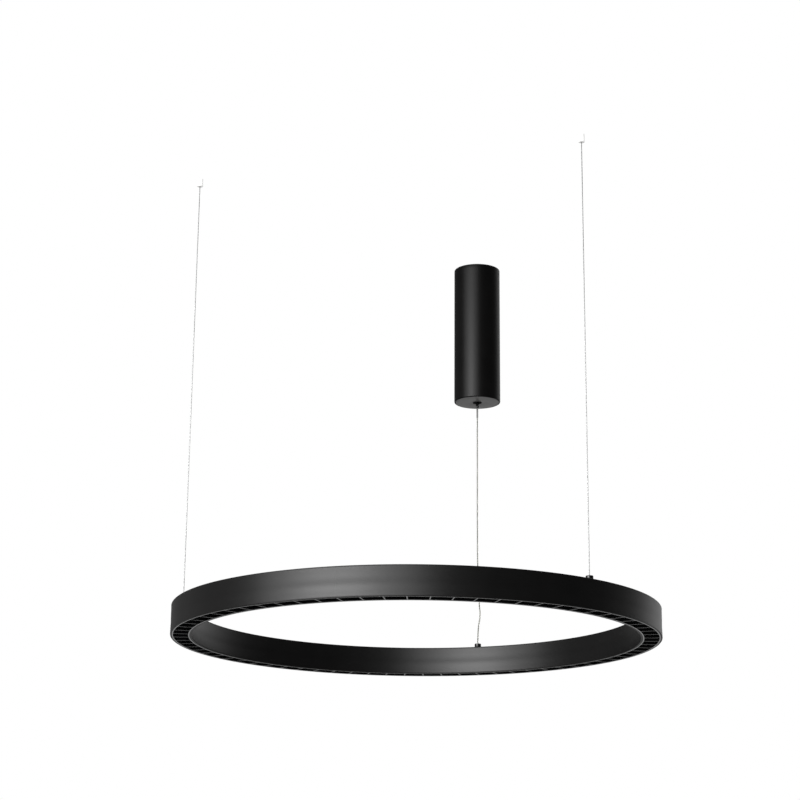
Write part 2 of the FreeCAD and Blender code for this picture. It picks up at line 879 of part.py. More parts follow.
def make_canopy():
    tab_face = canopy_bore - s.tab_play
    plate = rod("bracket_disc", canopy_bore - s.bracket_play, s.bracket_thickness, 0, 0,
                0 - s.bracket_thickness)
    tabs = []
    holes = [rod("mains_hole", s.mains_hole_radius, s.bracket_thickness, 0, 0,
                 0 - s.bracket_thickness)]
    grubs = []
    drill = []
    for side in (-1, 1):
        tag = side + 1
        start = tab_face * side - s.bracket_thickness * (side + 1) / 2
        tabs.append(box(f"tab_{tag}", s.bracket_thickness, s.tab_width, s.tab_height, start,
                        0 - s.tab_width / 2, 0 - s.tab_height))
        holes.append(rod(f"tab_thread_{tag}", s.grub_radius + s.thread_play, s.bracket_thickness,
                         start, 0, 0 - s.grub_depth, ALONG_X))
        holes.append(rod(f"ceiling_hole_{tag}", s.ceiling_hole_radius, s.bracket_thickness, 0,
                         s.ceiling_hole_spacing / 2 * side, 0 - s.bracket_thickness))
        holes.append(rod(f"foot_thread_{tag}", s.small_screw_radius + s.thread_play,
                         s.bracket_thickness, foot_screw_x, s.foot_screw_spacing / 2 * side,
                         0 - s.bracket_thickness))
        outer_end = s.canopy_radius - s.grub_recess
        grub_start = (outer_end - s.grub_length / 2) * side - s.grub_length / 2
        grub = rod(f"grub_bar_{tag}", s.grub_radius, s.grub_length, grub_start, 0, 0 - s.grub_depth,
                   ALONG_X)
        socket_start = (outer_end - s.grub_socket_depth / 2) * side - s.grub_socket_depth / 2
        socket = doc.addObject("Part::Prism", f"grub_socket_{tag}")
        socket.Polygon = 6
        bind(socket, "Circumradius", s.grub_socket)
        bind(socket, "Height", s.grub_socket_depth)
        place(socket, socket_start, 0, 0 - s.grub_depth, tilt=ALONG_X)
        grubs.append(cut(f"grub_{tag}", grub, [socket]))
        drill.append(rod(f"tube_hole_{tag}", s.grub_radius + s.thread_play, s.canopy_wall * 2,
                         (s.canopy_radius - s.canopy_wall / 2) * side - s.canopy_wall, 0,
                         0 - s.grub_depth, ALONG_X))
    node("ceiling_bracket", cut("bracket_drilled", fuse("bracket_bent", [plate] + tabs), holes))
    node("canopy_screws", group("grub_set", grubs))

    tube = turned("tube_bar", [
        (canopy_bore, 0),
        (s.canopy_radius - s.canopy_chamfer, 0),
        (s.canopy_radius, s.canopy_chamfer),
        (s.canopy_radius, s.canopy_height),
        (canopy_bore, s.canopy_height),
    ])
    node("canopy_tube", cut("tube_drilled", place(tube, 0, 0, canopy_floor), drill))

    disc = turned("base_disc", [
        (s.grip_thread_radius + s.thread_play, 0),
        (canopy_bore - s.base_play - s.base_chamfer, 0),
        (canopy_bore - s.base_play, s.base_chamfer),
        (canopy_bore - s.base_play, s.base_thickness),
        (s.grip_thread_radius + s.thread_play, s.base_thickness),
    ])
    node("canopy_base", place(disc, 0, 0, canopy_floor))


# The cradle: a bent sheet screwed under the bracket. It carries the terminals and the driver.
driver_top = 0 - s.terminal_drop - s.terminal_height - s.lead_gap
block_low = canopy_floor - s.grip_flange_thickness + s.grip_length + s.cord_rise
block_top = block_low + s.cord_block_height
driver_floor = block_top + s.lead_gap
driver_height = driver_top - driver_floor
driver_screw_heights = [driver_floor + s.driver_screw_inset, driver_top - s.driver_screw_inset]


def screw_up(name, x, y, head_low, length):
    """A pan-head screw that points up, its head's underside at a height."""
    head = rod(f"{name}_head", s.small_head_radius, s.small_head_height, x, y, head_low)
    shank = rod(f"{name}_shank", s.small_screw_radius, length, x, y,
                head_low + s.small_head_height)
    return fuse(name, [head, shank])


def make_cradle():
    sheet_bar = box("cradle_sheet", s.bracket_thickness, s.cradle_width,
                    0 - s.bracket_thickness - driver_floor, cradle_back, 0 - s.cradle_width / 2,
                    driver_floor)
    foot = box("cradle_foot", s.foot_length + s.bracket_thickness, s.foot_width,
               s.bracket_thickness, cradle_back, 0 - s.foot_width / 2, foot_low)
    holes = []
    screws = []
    for side in (-1, 1):
        y = s.foot_screw_spacing / 2 * side
        holes.append(rod(f"foot_hole_{side + 1}", s.small_screw_radius + s.thread_play,
                         s.bracket_thickness, foot_screw_x, y, foot_low))
        screws.append(screw_up(f"cradle_screw_{side + 1}", foot_screw_x, y,
                               foot_low - s.small_head_height,
                               s.bracket_thickness * 2 - s.fit_play))
    for i, height in enumerate(driver_screw_heights):
        holes.append(rod(f"driver_hole_{i}", s.small_screw_radius + s.thread_play,
                         s.bracket_thickness, cradle_back, 0, height, ALONG_X))
    holes.append(rod("earth_hole", s.earth_screw_radius + s.thread_play, s.bracket_thickness,
                     cradle_back, 0, 0 - s.earth_screw_drop, ALONG_X))
    node("driver_cradle", cut("cradle_drilled", fuse("cradle_bent", [sheet_bar, foot]), holes))
    node("cradle_screws", group("cradle_screw_set", screws))

    head = rod("earth_head", s.earth_head_radius, s.earth_head_height, cradle_face, 0,
               0 - s.earth_screw_drop, ALONG_X)
    shank = rod("earth_shank", s.earth_screw_radius, s.earth_screw_length,
                cradle_face - s.earth_screw_length, 0, 0 - s.earth_screw_drop, ALONG_X)
    node("earth_screw", fuse("earth_screw_solid", [head, shank]))


def make_terminals():
    low = 0 - s.terminal_drop - s.terminal_height
    top = 0 - s.terminal_drop
    block = box("terminal_bar", s.terminal_depth, s.terminal_width, s.terminal_height, cradle_face,
                0 - s.terminal_width / 2, low)
    middle = cradle_face + s.terminal_depth / 2
    front = cradle_face + s.terminal_depth
    screw_height = top - s.terminal_mouth_depth / 2
    holes = []
    screws = []
    for place_number in (-1, 0, 1):
        tag = place_number + 1
        y = s.terminal_pitch * place_number
        holes.append(rod(f"terminal_mouth_{tag}", s.terminal_mouth_radius, s.terminal_mouth_depth,
                         middle, y, top - s.terminal_mouth_depth))
        holes.append(rod(f"terminal_well_{tag}", s.terminal_mouth_radius + s.thread_play,
                         s.terminal_depth / 2, middle, y, screw_height, ALONG_X))
        screws.append(rod(f"terminal_screw_{tag}", s.terminal_mouth_radius,
                          s.terminal_depth / 2 - s.terminal_mouth_radius,
                          front - s.terminal_depth / 2 + s.terminal_mouth_radius
                          - s.grub_recess, y, screw_height, ALONG_X))
    node("terminal_block", cut("terminal_drilled", block, holes))
    node("terminal_screws", group("terminal_screw_set", screws))


def make_driver():
    back = cradle_face
    half = s.driver_width / 2
    shell = box("driver_shell", s.driver_depth, s.driver_width, driver_height, back, 0 - half,
                driver_floor)
    room = box("driver_room", s.driver_depth - s.driver_wall, s.driver_width - s.driver_wall * 2,
               driver_height - s.driver_wall * 2, back + s.driver_wall,
               s.driver_wall - half, driver_floor + s.driver_wall)
    lead_x = back + s.terminal_depth / 2
    tools = [room]
    primary = []
    secondary = []
    for side in (-1, 1):
        tag = side + 1
        y = s.primary_spacing / 2 * side
        tools.append(rod(f"primary_entry_{tag}", s.lead_radius + s.lead_play, s.driver_wall, lead_x,
                         y, driver_top - s.driver_wall))
        primary.append(rod(f"primary_lead_{tag}", s.lead_radius, s.lead_gap + s.lead_entry, lead_x,
                           y, driver_top - s.lead_entry))
        y = s.secondary_spacing / 2 * side
        tools.append(rod(f"secondary_entry_{tag}", s.lead_radius + s.lead_play, s.driver_wall, 0, y,
                         driver_floor))
        secondary.append(rod(f"secondary_lead_{tag}", s.lead_radius, s.lead_gap + s.lead_entry, 0,
                             y, block_top))
    screws = []
    for i, height in enumerate(driver_screw_heights):
        tools.append(rod(f"driver_thread_{i}", s.small_screw_radius + s.thread_play, s.driver_wall,
                         back, 0, height, ALONG_X))
        head = rod(f"driver_screw_head_{i}", s.small_head_radius, s.small_head_height,
                   cradle_back - s.small_head_height, 0, height, ALONG_X)
        shank = rod(f"driver_screw_shank_{i}", s.small_screw_radius,
                    s.bracket_thickness + s.driver_wall, cradle_back, 0, height, ALONG_X)
        screws.append(fuse(f"driver_screw_{i}", [head, shank]))
    node("driver_case", cut("driver_case_solid", shell, tools))
    node("driver_screws", group("driver_screw_set", screws))
    node("primary_leads", group("primary_lead_set", primary))
    node("secondary_leads", group("secondary_lead_set", secondary))
    node("driver_lid", box("driver_cover", s.driver_wall, s.driver_width, driver_height,
                           back + s.driver_depth, 0 - half, driver_floor))

    board_x = back + s.driver_board_offset
    board_half = half - s.driver_wall - s.fit_play
    board_low = driver_floor + s.driver_wall + s.lead_entry
    board_high = driver_top - s.driver_wall - s.lead_entry
    node("driver_board", box("driver_board_solid", s.board_thickness, board_half * 2,
                             board_high - board_low, board_x, 0 - board_half, board_low))
    front = board_x + s.board_thickness
    middle = driver_floor + driver_height / 2
    core = box("transformer_core", s.transformer_depth, s.transformer_size, s.transformer_size,
               front, 0 - s.transformer_size / 2, middle - s.transformer_size / 2)
    winding = rod("transformer_winding", s.winding_radius, s.transformer_size + s.winding_overhang * 2,
                  front + s.winding_radius, 0,
                  middle - s.transformer_size / 2 - s.winding_overhang)
    node("driver_transformer", fuse("transformer", [core, winding]))
    cans = []
    for side in (-1, 1):
        height = middle + (s.transformer_size + s.capacitor_radius) * side
        cans.append(rod(f"capacitor_{side + 1}", s.capacitor_radius, s.capacitor_length, front,
                        s.capacitor_spacing / 2 * side, height, ALONG_X))
    node("driver_capacitors", group("capacitor_set", cans))


# The cord grip hangs the feed cord from the canopy's disc. Its nipple is pressed up to free it.
def make_cord_grip():
    line = s.cord_radius
    low = canopy_floor - s.grip_flange_thickness
    bore = line + s.release_bore_play
    guide = s.nipple_radius + s.fit_play
    chamber = line + s.grip_ball_radius * 2 + s.chamber_play
    cone_high = s.grip_cone_low + s.grip_cone_height
    barrel = turned("grip_barrel", [
        (guide, 0),
        (s.grip_flange_radius - s.edge_break, 0),
        (s.grip_flange_radius, s.edge_break),
        (s.grip_flange_radius, s.grip_flange_thickness),
        (s.grip_thread_radius, s.grip_flange_thickness),
        (s.grip_thread_radius, s.grip_length),
        (chamber, s.grip_length),
        (chamber, cone_high),
        (guide, s.grip_cone_low),
    ])
    node("cord_grip_barrel", place(barrel, 0, 0, low))
    seat = ball_seat(line, s.grip_ball_radius, chamber, guide, s.grip_cone_height)
    ball_height = cone_high - seat
    node("cord_grip_balls", ball_set("grip_balls", line, s.grip_ball_radius, 0, 0,
                                     low + ball_height))
    nipple_high = s.nipple_length + ball_height - s.grip_ball_radius - s.fit_play
    nipple = turned("grip_nipple", [
        (bore, 0),
        (s.nipple_radius - s.nipple_chamfer, 0),
        (s.nipple_radius, s.nipple_chamfer),
        (s.nipple_radius, nipple_high),
        (bore, nipple_high),
    ])
    node("cord_grip_plunger", place(nipple, 0, 0, low - s.nipple_length))
    plug_low = s.grip_length - s.grip_plug_thickness
    plug = turned("grip_plug", [
        (line + s.plug_bore_play, 0),
        (chamber - s.ball_gap, 0),
        (chamber - s.ball_gap, s.grip_plug_thickness),
        (line + s.plug_bore_play, s.grip_plug_thickness),
    ])
    node("cord_grip_plug", place(plug, 0, 0, low + plug_low))
    spring_low = ball_height + s.grip_ball_radius + s.fit_play
    spring = shaped("grip_spring", coil((line + s.grip_spring_offset).value,
                                        s.grip_spring_wire.value, (plug_low - spring_low).value,
                                        s.grip_spring_turns.value))
    spring.Placement.Base = vector(0, 0, low + spring_low)
    node("cord_grip_spring", spring)
    node("cord_grip_nut", hexagon("grip_nut", s.grip_nut_flats,
                                  s.grip_thread_radius + s.ball_gap, s.grip_nut_height, 0, 0,
                                  canopy_floor + s.base_thickness))
    node("cord_connector", box("cord_block", s.cord_block_length, s.cord_block_width,
                               s.cord_block_height, 0 - s.cord_block_length / 2,
                               0 - s.cord_block_width / 2, block_low))


# The ceiling anchors: a base for the ceiling screw, a cap screwed over it, and the wire's stop.
def make_anchors():
    bases = []
    caps = []
    stops = []
    spigot = s.anchor_radius - s.anchor_wall - s.base_play
    cap_low = 0 - s.anchor_flange - s.anchor_cap_height
    for name in ("left", "right"):
        x, y = on_ring(ring_middle, line_angles[name])
        base = turned(f"anchor_base_{name}", [
            (spigot - s.anchor_spigot_wall, 0),
            (spigot, 0),
            (spigot, s.anchor_spigot),
            (s.anchor_radius, s.anchor_spigot),
            (s.anchor_radius, s.anchor_spigot + s.anchor_flange),
            (s.anchor_hole_radius, s.anchor_spigot + s.anchor_flange),
            (s.anchor_hole_radius, s.anchor_spigot),
            (spigot - s.anchor_spigot_wall, s.anchor_spigot),
        ])
        bases.append(place(base, x, y, 0 - s.anchor_flange - s.anchor_spigot))
        cap = turned(f"anchor_cap_{name}", [
            (s.wire_radius + s.fit_play, 0),
            (s.anchor_radius - s.anchor_cap_chamfer, 0),
            (s.anchor_radius, s.anchor_cap_chamfer),
            (s.anchor_radius, s.anchor_cap_height),
            (s.anchor_radius - s.anchor_wall, s.anchor_cap_height),
            (s.anchor_radius - s.anchor_wall, s.anchor_cap_floor),
            (s.wire_radius + s.fit_play, s.anchor_cap_floor),
        ])
        caps.append(place(cap, x, y, cap_low))
        stop = turned(f"wire_stop_{name}", [
            (s.wire_radius + s.ball_gap, 0),
            (s.wire_stop_radius, 0),
            (s.wire_stop_radius, s.wire_stop_height),
            (s.wire_radius + s.ball_gap, s.wire_stop_height),
        ])
        stops.append(place(stop, x, y, cap_low + s.anchor_cap_floor))
    node("anchor_bases", group("anchor_base_set", bases))
    node("anchor_caps", group("anchor_cap_set", caps))
    node("wire_stops", group("wire_stop_set", stops))


def check_and_write():
    doc.recompute()
    for thing in doc.Objects:
        if "Invalid" in thing.State or "Error" in thing.State:
            raise RuntimeError(f"{thing.Name} failed: {thing.State}")
    os.makedirs("parts", exist_ok=True)
    for thing in NODES:
        shape = thing.Shape
        if shape.isNull() or not shape.isValid() or not shape.Solids:
            raise RuntimeError(f"{thing.Label} has no valid solid")
        shape.exportStep(f"parts/{thing.Label}.step")
        print(f"{thing.Label}: {len(shape.Solids)} solids, {shape.Volume:.1f} mm3")


make_ring()
make_splice()
make_louvre()
make_light()
make_connector()
make_grippers()
make_canopy()
make_cradle()
make_terminals()
make_driver()
make_cord_grip()
make_anchors()
make_lines()
check_and_write()
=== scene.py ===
import math

import bmesh
import bpy
from mathutils import Matrix, Vector


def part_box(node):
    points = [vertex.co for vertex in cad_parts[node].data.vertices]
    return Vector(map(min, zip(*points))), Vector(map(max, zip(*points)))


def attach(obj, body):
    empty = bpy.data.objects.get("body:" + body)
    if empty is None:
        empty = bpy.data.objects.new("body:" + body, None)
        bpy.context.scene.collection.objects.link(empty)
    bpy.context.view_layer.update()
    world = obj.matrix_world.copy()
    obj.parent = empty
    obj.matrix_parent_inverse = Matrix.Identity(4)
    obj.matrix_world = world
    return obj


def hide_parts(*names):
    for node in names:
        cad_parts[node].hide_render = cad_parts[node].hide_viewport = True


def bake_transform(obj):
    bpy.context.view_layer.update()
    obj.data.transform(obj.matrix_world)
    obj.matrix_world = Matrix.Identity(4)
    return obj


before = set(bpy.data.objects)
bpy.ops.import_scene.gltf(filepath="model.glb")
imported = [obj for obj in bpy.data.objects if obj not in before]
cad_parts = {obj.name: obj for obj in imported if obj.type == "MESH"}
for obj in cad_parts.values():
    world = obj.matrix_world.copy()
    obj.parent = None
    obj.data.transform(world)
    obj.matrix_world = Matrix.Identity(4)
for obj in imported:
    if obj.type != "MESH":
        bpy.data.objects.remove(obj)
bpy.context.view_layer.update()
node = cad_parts

# The camera stands below the ring and a little to its right, so that it sees the louvred
# underside and, through the ring, the inner wall of the far side.
ring_middle = 0.287
ring_axis = Vector((0, -ring_middle, 0))
ring_floor = -0.581
ring_top = -0.546
camera_turn = math.radians(17.12)
camera_yaw = -0.009338
camera_pitch = 0.283137
camera_roll = 0.009145
eye = ring_axis + Vector((0.7053, -2.2896, ring_floor - 0.38958))
heading = camera_turn - camera_yaw
across = Vector((math.cos(heading), math.sin(heading), 0))
level = Vector((-math.sin(heading), math.cos(heading), 0))
ahead = level * math.cos(camera_pitch) + Vector((0, 0, math.sin(camera_pitch)))
above = Vector((0, 0, math.cos(camera_pitch))) - level * math.sin(camera_pitch)
image_right = across * math.cos(camera_roll) + above * math.sin(camera_roll)
image_up = above * math.cos(camera_roll) - across * math.sin(camera_roll)
camera = bpy.data.objects.new("camera", bpy.data.cameras.new("camera"))
bpy.context.scene.collection.objects.link(camera)
camera.data.sensor_width = 36
camera.data.lens = 88.4
camera.data.clip_start = 0.05
camera.data.clip_end = 60
camera.matrix_world = Matrix([
    [image_right.x, image_up.x, -ahead.x, eye.x],
    [image_right.y, image_up.y, -ahead.y, eye.y],
    [image_right.z, image_up.z, -ahead.z, eye.z],
    [0, 0, 0, 1],
])
bpy.context.scene.camera = camera


# Sheet steel, pressed, zinc plated and passivated. Everything that stays on the ceiling hangs
# from this disc and its two tabs.
def finish(name, colour, roughness, metal=0.0, tint=None, patch=0.02, grain=0.0006, bump=0.0,
           gloss_spread=0.08, specular=0.5):
    """A maker's finish: two close tints in soft patches, an uneven gloss and a fine grain."""
    material = bpy.data.materials.new(name)
    material.use_nodes = True
    nodes = material.node_tree.nodes
    link = material.node_tree.links.new
    shader = nodes["Principled BSDF"]
    shader.inputs["Metallic"].default_value = metal
    shader.inputs["Specular IOR Level"].default_value = specular
    place = nodes.new("ShaderNodeTexCoord")
    patches = nodes.new("ShaderNodeTexNoise")
    patches.inputs["Scale"].default_value = 1 / patch
    patches.inputs["Detail"].default_value = 4
    link(place.outputs["Object"], patches.inputs["Vector"])
    tints = nodes.new("ShaderNodeValToRGB")
    tints.color_ramp.elements[0].position = 0.3
    tints.color_ramp.elements[0].color = (*colour, 1)
    tints.color_ramp.elements[1].position = 0.7
    tints.color_ramp.elements[1].color = (*(tint or [c * 1.15 for c in colour]), 1)
    link(patches.outputs["Fac"], tints.inputs["Fac"])
    link(tints.outputs["Color"], shader.inputs["Base Color"])
    gloss = nodes.new("ShaderNodeMapRange")
    gloss.inputs["To Min"].default_value = roughness - gloss_spread / 2
    gloss.inputs["To Max"].default_value = roughness + gloss_spread / 2
    fine = nodes.new("ShaderNodeTexNoise")
    fine.inputs["Scale"].default_value = 1 / grain
    fine.inputs["Detail"].default_value = 2
    link(place.outputs["Object"], fine.inputs["Vector"])
    link(fine.outputs["Fac"], gloss.inputs["Value"])
    link(gloss.outputs["Result"], shader.inputs["Roughness"])
    if bump:
        dents = nodes.new("ShaderNodeBump")
        dents.inputs["Strength"].default_value = bump
        dents.inputs["Distance"].default_value = grain / 4
        link(fine.outputs["Fac"], dents.inputs["Height"])
        link(dents.outputs["Normal"], shader.inputs["Normal"])
    return material


def dress(material, *names):
    """Give carried-over pieces their finish."""
    for name in names:
        node[name].data.materials.clear()
        node[name].data.materials.append(material)


zinc = finish("zinc_plate", (0.55, 0.56, 0.58), 0.38, metal=1.0, tint=(0.66, 0.66, 0.64),
              patch=0.004, grain=0.0004, bump=0.15)
dress(zinc, "ceiling_bracket", "driver_cradle", "gripper_nuts", "cord_grip_nut")

# The canopy tube is drawn aluminium with a satin black coat. It pushes up over the bracket's
# tabs, and two grub screws pinch it there.
coat_dark = (0.0015, 0.0014, 0.0014)
coat_light = (0.0025, 0.0023, 0.0023)
canopy_black = finish("canopy_black", coat_dark, 0.36, tint=coat_light, patch=0.03, grain=0.0005,
                      bump=0.12, gloss_spread=0.06, specular=0.25)
round_steps = 144


def rounded(outline, steps=3):
    """An outline with its corners eased by small arcs. Each corner gives its distance from the
    axis, its height and how far its arc reaches."""
    eased = []
    for i, (across_axis, height, reach) in enumerate(outline):
        corner = Vector((across_axis, height))
        if not reach:
            eased.append(corner)
            continue
        before = Vector(outline[i - 1][:2]) - corner
        after = Vector(outline[(i + 1) % len(outline)][:2]) - corner
        reach = min(reach, before.length * 0.45, after.length * 0.45)
        near = corner + before.normalized() * reach
        far = corner + after.normalized() * reach
        for k in range(steps + 1):
            t = k / steps
            eased.append(near * (1 - t) ** 2 + corner * (2 * t * (1 - t)) + far * t ** 2)
    return eased


def new_piece(name, bm, material, crease=40):
    """Close a mesh into a piece with smooth faces and crisp edges."""
    bmesh.ops.recalc_face_normals(bm, faces=bm.faces)
    mesh = bpy.data.meshes.new(name)
    bm.to_mesh(mesh)
    bm.free()
    mesh.shade_smooth()
    mesh.set_sharp_from_angle(angle=math.radians(crease))
    for one in material if isinstance(material, list) else [material]:
        mesh.materials.append(one)
    piece = bpy.data.objects.new(name, mesh)
    bpy.context.scene.collection.objects.link(piece)
    return piece


def turn_on_lathe(bm, outline, at, steps=round_steps):
    """Turn a closed outline about the vertical through a point."""
    rows = []
    for i in range(steps):
        angle = math.tau * i / steps
        rows.append([bm.verts.new((at[0] + r * math.cos(angle), at[1] + r * math.sin(angle),
                                   at[2] + z)) for r, z in outline])
    for i in range(steps):
        for k in range(len(outline)):
            n = (k + 1) % len(outline)
            bm.faces.new((rows[i - 1][k], rows[i][k], rows[i][n], rows[i - 1][n]))


def carried(piece, slot, body, *replaced):
    """A finished piece takes its body and the place of the plain ones. Its slot is not used."""
    if replaced:
        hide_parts(*replaced)
    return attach(piece, body)


def turned(name, outline, at, material, slot, body, *replaced, steps=round_steps):
    """A piece turned from one closed outline, put on its body."""
    bm = bmesh.new()
    turn_on_lathe(bm, outline, at, steps)
    piece = new_piece(name, bm, material)
    return carried(piece, slot, body, *replaced)


def drill(piece, holes, steps=64):
    """Drill round holes: where each starts, which way it goes, and its radius at both ends. A
    drill is turned by half a facet, so that none of its corners meets an edge of the piece."""
    bm = bmesh.new()
    for start, way, near, far in holes:
        middle = Vector(start) + Vector(way) / 2
        turn = Vector((0, 0, 1)).rotation_difference(Vector(way)).to_matrix().to_4x4()
        turn = turn @ Matrix.Rotation(math.pi / steps, 4, "Z")
        made = bmesh.ops.create_cone(bm, cap_ends=True, segments=steps, radius1=near,
                                     radius2=far, depth=Vector(way).length)
        bmesh.ops.transform(bm, matrix=turn, verts=made["verts"])
        bmesh.ops.translate(bm, vec=middle, verts=made["verts"])
    drills = new_piece("drills", bm, [])
    cut = piece.modifiers.new("drilled", "BOOLEAN")
    cut.operation = "DIFFERENCE"
    cut.solver = "EXACT"
    cut.object = drills
    bpy.context.view_layer.update()
    result = bpy.data.meshes.new_from_object(
        piece.evaluated_get(bpy.context.evaluated_depsgraph_get()))
    piece.modifiers.clear()
    piece.data = result
    bpy.data.objects.remove(drills)


canopy_radius = 0.0325
canopy_bore = 0.031
canopy_height = 0.197
canopy_floor = -canopy_height
below_screws = 0.1868
above_screws = 0.1912
screw_hole = 0.00155
tube = turned("canopy_sleeve", rounded([
    (canopy_bore, 0, 0.0002),
    (0.0316, 0, 0.0004),
    (0.0323, 0.0005, 0.0005),
    (canopy_radius, 0.0015, 0.0006),
    (canopy_radius, below_screws, 0),
    (canopy_radius, above_screws, 0),
    (canopy_radius, canopy_height, 0.0003),
    (canopy_bore, canopy_height, 0.0003),
    (canopy_bore, above_screws, 0),
    (canopy_bore, below_screws, 0),
]), (0, 0, canopy_floor), canopy_black, "profile_black", "ceiling", "canopy_tube")
drill(tube, [((side * 0.03, 0, -0.008), (side * 0.003, 0, 0), screw_hole, screw_hole)
             for side in (-1, 1)])

# The disc that closes the tube is a separate turned piece, so a fine shadow line runs round it.
# The cord grip is clamped in its middle.
# The disc's black coat is lightened here to a dark grey. This is a painted reflection of the pale
# floor and backdrop that the disc faces at a low angle.
disc_black = finish("disc_black", (0.092, 0.091, 0.09), 0.3, tint=(0.1, 0.099, 0.098), grain=0.0005,
                    bump=0.1, gloss_spread=0.05, specular=0.8)
disc_bore = 0.00505
disc_radius = 0.03092
disc_height = 0.003
turned("canopy_disc", rounded([
    (disc_bore, 0, 0.0001),
    (0.03055, 0, 0.0004),
    (disc_radius, 0.0008, 0.0002),
    (disc_radius, disc_height, 0.0002),
    (disc_bore, disc_height, 0.0001),
]), (0, 0, canopy_floor), disc_black, "disc_black", "ceiling", "canopy_base")
plated = finish("plated_steel", (0.5, 0.51, 0.52), 0.3, metal=1.0, tint=(0.6, 0.6, 0.6),
                patch=0.002, grain=0.0003, bump=0.1)
dress(plated, "canopy_screws", "cradle_screws", "earth_screw", "driver_screws", "terminal_screws")

# The driver hangs on its cradle inside the canopy: a white two-part case round a circuit board
# with its transformer and capacitors, and the terminals for the mains above it.
case_white = finish("case_white", (0.78, 0.78, 0.76), 0.5, tint=(0.82, 0.82, 0.8), patch=0.03,
                    grain=0.0008, bump=0.2)
nylon = finish("nylon", (0.8, 0.8, 0.76), 0.42, tint=(0.86, 0.86, 0.83), patch=0.01, bump=0.1)
mask_green = finish("solder_mask", (0.015, 0.11, 0.04), 0.28, tint=(0.02, 0.15, 0.055), patch=0.003,
                    grain=0.0004, bump=0.2)
ferrite = finish("ferrite", (0.03, 0.03, 0.034), 0.6, tint=(0.05, 0.05, 0.055), patch=0.003,
                 grain=0.0003, bump=0.4)
sleeve = finish("capacitor_sleeve", (0.02, 0.02, 0.03), 0.25, tint=(0.03, 0.03, 0.045), patch=0.01)
insulation = finish("lead_insulation", (0.12, 0.035, 0.02), 0.4, tint=(0.16, 0.05, 0.03),
                    patch=0.004)
dress(case_white, "driver_case", "driver_lid")
dress(nylon, "terminal_block", "cord_connector", "feed_connector")
dress(mask_green, "driver_board")
dress(ferrite, "driver_transformer")
dress(sleeve, "driver_capacitors")
dress(insulation, "primary_leads", "secondary_leads")

# The cord grip's body is dull black, its slim nipple glossy. The nipple is pressed up against a
# spring to free the cord.
dull_black = finish("dull_black", (0.0012, 0.0012, 0.0013), 0.6, tint=(0.002, 0.002, 0.0022),
                    patch=0.002, grain=0.0003, bump=0.2, gloss_spread=0.1, specular=0.06)
plated_black = finish("plated_black", (0.0025, 0.0025, 0.0027), 0.16, tint=(0.004, 0.004, 0.0042),
                      patch=0.004, grain=0.0004, bump=0.06, gloss_spread=0.06)
turned_brass = finish("turned_brass", (0.6, 0.42, 0.18), 0.3, metal=1.0, tint=(0.68, 0.5, 0.24),
                      patch=0.002, grain=0.0003, bump=0.1)
dress(dull_black, "cord_grip_barrel")
dress(turned_brass, "cord_grip_plug", "gripper_plugs", "feed_pins")
dress(plated, "cord_grip_balls")
nipple_foot = canopy_floor - 0.0082
nipple_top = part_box("cord_grip_plunger")[1].z - nipple_foot
nipple_bore = 0.00105
nipple_radius = 0.00195
fitting_steps = 96
turned("cord_grip_nipple", rounded([
    (nipple_bore, 0, 0.0002),
    (0.00145, 0, 0.0003),
    (nipple_radius, 0.0005, 0.0005),
    (nipple_radius, nipple_top, 0.0001),
    (nipple_bore, nipple_top, 0.0001),
], steps=5), (0, 0, nipple_foot), plated_black, "fitting_black", "cord_release",
    "cord_grip_plunger", steps=fitting_steps)


def wound_spring(name, at, mean, wire, turns, replaced):
    """A round-wire spring that is pressed together between the two bodies it stands on."""
    low, high = (corner.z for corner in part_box(replaced))
    bm = bmesh.new()
    last = None
    sides = 10
    count = 20 * turns
    for i in range(count + 1):
        angle = math.tau * turns * i / count
        out = Vector((math.cos(angle), math.sin(angle), 0))
        climb = wire + (high - low - 2 * wire) * i / count
        heart = Vector((at[0], at[1], low + climb)) + out * mean
        row = []
        for k in range(sides):
            side = math.tau * k / sides
            row.append(bm.verts.new(heart + out * wire * math.cos(side)
                                    + Vector((0, 0, wire * math.sin(side)))))
        if last:
            for k in range(sides):
                bm.faces.new((last[k - 1], last[k], row[k], row[k - 1]))
        if i in (0, count):
            bm.faces.new(row)
        last = row
    piece = new_piece(name, bm, plated)
    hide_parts(replaced)
    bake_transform(piece)


wound_spring("cord_grip_coil", (0, 0), mean=0.0021, wire=0.00025, turns=6,
             replaced="cord_grip_spring")

# The ring is an extruded aluminium profile, rolled to a circle and coated satin black. Its walls
# sink very slightly between the webs inside, and its ends butt together in one place.
ring_outer = 0.3
ring_inner = 0.274
channel_outer = 0.298
channel_inner = 0.2765
wall_low = 0.0006
wall_high = 0.0344
wall_rows = 26
sink_depth = 0.00022
sink_rise = 0.006
hollows = ((0.00017, 0.014, 0.005), (0.00003, 0.027, 0.004))


def wall(radius, way):
    """One tall face of the profile, from the lower edge up. It sinks in a little above the edge,
    and further in each hollow, which has a depth, a height and half a width."""
    points = []
    for i in range(wall_rows + 1):
        height = wall_low + (wall_high - wall_low) * i / wall_rows
        sunk = sink_depth * (1 - math.exp(-height / sink_rise))
        for depth, middle, spread in hollows:
            sunk += depth * math.exp(-((height - middle) / spread) ** 2)
        points.append((radius - way * sunk, height))
    return points


